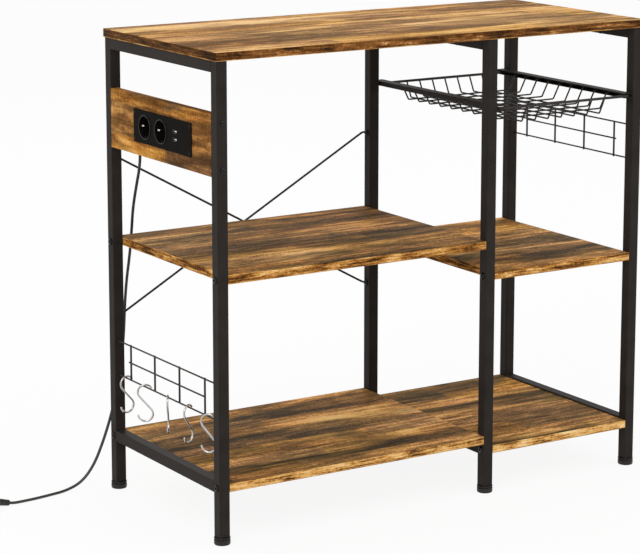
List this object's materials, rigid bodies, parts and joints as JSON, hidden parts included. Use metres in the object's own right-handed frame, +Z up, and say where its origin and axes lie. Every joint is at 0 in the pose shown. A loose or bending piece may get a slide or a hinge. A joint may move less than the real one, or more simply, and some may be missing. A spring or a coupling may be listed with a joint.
{
  "type": "kitchen shelving unit",
  "caption": "Free-standing kitchen shelving unit on square steel frames with wood-grain boards, sliding wire basket, wire grids with S-hooks, cross brace and a socket strip",
  "frame": {"origin": "on the floor, under the middle of the top board", "axes": "X along the unit from the socket end to the basket end, Y from its front to its back, Z up"},
  "size_m": [1.1922, 0.4176, 0.84],
  "materials": {
    "wood_grain_board": "matt printed wood-grain laminate",
    "powder_coated_steel": "fine-textured black powder coat",
    "black_wire": "smooth black powder coat",
    "black_bolts": "black oxide, satin",
    "black_plastic": "moulded, matt",
    "outlet_plastic": "moulded, satin gloss",
    "pale_plastic": "moulded, matt",
    "contact_metal": "nickel-plated brass",
    "bright_steel": "nickel-plated sheet",
    "circuit_board": "glass-fibre board",
    "cord_sheath": "black PVC, satin",
    "plug_plastic": "black PVC, satin",
    "chrome_hooks": "bright chrome plate"
  },
  "bodies": {
    "frame": {"post_front_left": "powder_coated_steel", "post_front_middle": "powder_coated_steel", "post_front_right": "powder_coated_steel", "post_rear_left": "powder_coated_steel", "post_rear_middle": "powder_coated_steel", "post_rear_right": "powder_coated_steel", "top_rail_left": "powder_coated_steel", "bottom_rail_left": "powder_coated_steel", "top_rail_middle": "powder_coated_steel", "bottom_rail_middle": "powder_coated_steel", "top_rail_right": "powder_coated_steel", "bottom_rail_right": "powder_coated_steel", "top_board": "wood_grain_board", "middle_shelf_left": "wood_grain_board", "middle_shelf_right": "wood_grain_board", "bottom_shelf_left": "wood_grain_board", "bottom_shelf_right": "wood_grain_board", "socket_board": "wood_grain_board", "socket_board_bolts": "black_bolts", "shelf_bolts": "black_bolts", "brace_screws": "black_bolts", "basket_rail_screws": "black_bolts", "top_board_screws": "black_bolts", "outlet_faceplate": "outlet_plastic", "outlet_housing": "outlet_plastic", "socket_insert_1": "outlet_plastic", "socket_insert_2": "outlet_plastic", "usb_tongues": "pale_plastic", "socket_contacts": "contact_metal", "earth_clips": "contact_metal", "usb_shells": "bright_steel", "usb_circuit_board": "circuit_board", "mains_cord": "cord_sheath", "cord_strain_relief": "cord_sheath", "plug_strain_relief": "cord_sheath", "plug_body": "plug_plastic", "plug_pins": "contact_metal", "brace_rod_rising": "black_wire", "brace_rod_falling": "black_wire", "grid_panel_left": "black_wire", "grid_panel_right": "black_wire", "basket_rail_left": "black_wire", "basket_rail_right": "black_wire", "foot_plugs": "black_plastic"},
    "basket": {"basket_rim": "black_wire", "basket_cross_wires": "black_wire", "basket_long_wires": "black_wire"},
    "hook_1_body": {"hook_1": "chrome_hooks"},
    "hook_2_body": {"hook_2": "chrome_hooks"},
    "hook_3_body": {"hook_3": "chrome_hooks"},
    "hook_4_body": {"hook_4": "chrome_hooks"},
    "hook_5_body": {"hook_5": "chrome_hooks"},
    "foot_front_left_body": {"foot_front_left": "black_plastic"},
    "foot_front_middle_body": {"foot_front_middle": "black_plastic"},
    "foot_front_right_body": {"foot_front_right": "black_plastic"},
    "foot_rear_left_body": {"foot_rear_left": "black_plastic"},
    "foot_rear_middle_body": {"foot_rear_middle": "black_plastic"},
    "foot_rear_right_body": {"foot_rear_right": "black_plastic"}
  },
  "joints": [
    {"name": "basket_slide", "type": "slide", "parent": "frame", "child": "basket", "axis": [0, -1, 0], "range_m": [-0.011, 0.25]},
    {"name": "hook_1_swing", "type": "hinge", "parent": "frame", "child": "hook_1_body", "pos_m": [-0.4403, 0.14494, 0.2149], "axis": [0, 1, 0], "range_deg": [-60, 60]},
    {"name": "hook_2_swing", "type": "hinge", "parent": "frame", "child": "hook_2_body", "pos_m": [-0.4403, 0.07603, 0.2149], "axis": [0, 1, 0], "range_deg": [-60, 60]},
    {"name": "hook_3_swing", "type": "hinge", "parent": "frame", "child": "hook_3_body", "pos_m": [-0.4403, -0.00693, 0.2149], "axis": [0, 1, 0], "range_deg": [-60, 60]},
    {"name": "hook_4_swing", "type": "hinge", "parent": "frame", "child": "hook_4_body", "pos_m": [-0.4403, -0.07999, 0.2149], "axis": [0, 1, 0], "range_deg": [-60, 60]},
    {"name": "hook_5_swing", "type": "hinge", "parent": "frame", "child": "hook_5_body", "pos_m": [-0.4403, -0.15008, 0.2149], "axis": [0, 1, 0], "range_deg": [-60, 60]},
    {"name": "foot_front_left_turn", "type": "hinge", "parent": "frame", "child": "foot_front_left_body", "pos_m": [-0.437, -0.188, 0], "axis": [0, 0, 1], "continuous": true},
    {"name": "foot_front_middle_turn", "type": "hinge", "parent": "frame", "child": "foot_front_middle_body", "pos_m": [0.111, -0.188, 0], "axis": [0, 0, 1], "continuous": true},
    {"name": "foot_front_right_turn", "type": "hinge", "parent": "frame", "child": "foot_front_right_body", "pos_m": [0.437, -0.188, 0], "axis": [0, 0, 1], "continuous": true},
    {"name": "foot_rear_left_turn", "type": "hinge", "parent": "frame", "child": "foot_rear_left_body", "pos_m": [-0.437, 0.188, 0], "axis": [0, 0, 1], "continuous": true},
    {"name": "foot_rear_middle_turn", "type": "hinge", "parent": "frame", "child": "foot_rear_middle_body", "pos_m": [0.111, 0.188, 0], "axis": [0, 0, 1], "continuous": true},
    {"name": "foot_rear_right_turn", "type": "hinge", "parent": "frame", "child": "foot_rear_right_body", "pos_m": [0.437, 0.188, 0], "axis": [0, 0, 1], "continuous": true}
  ]
}
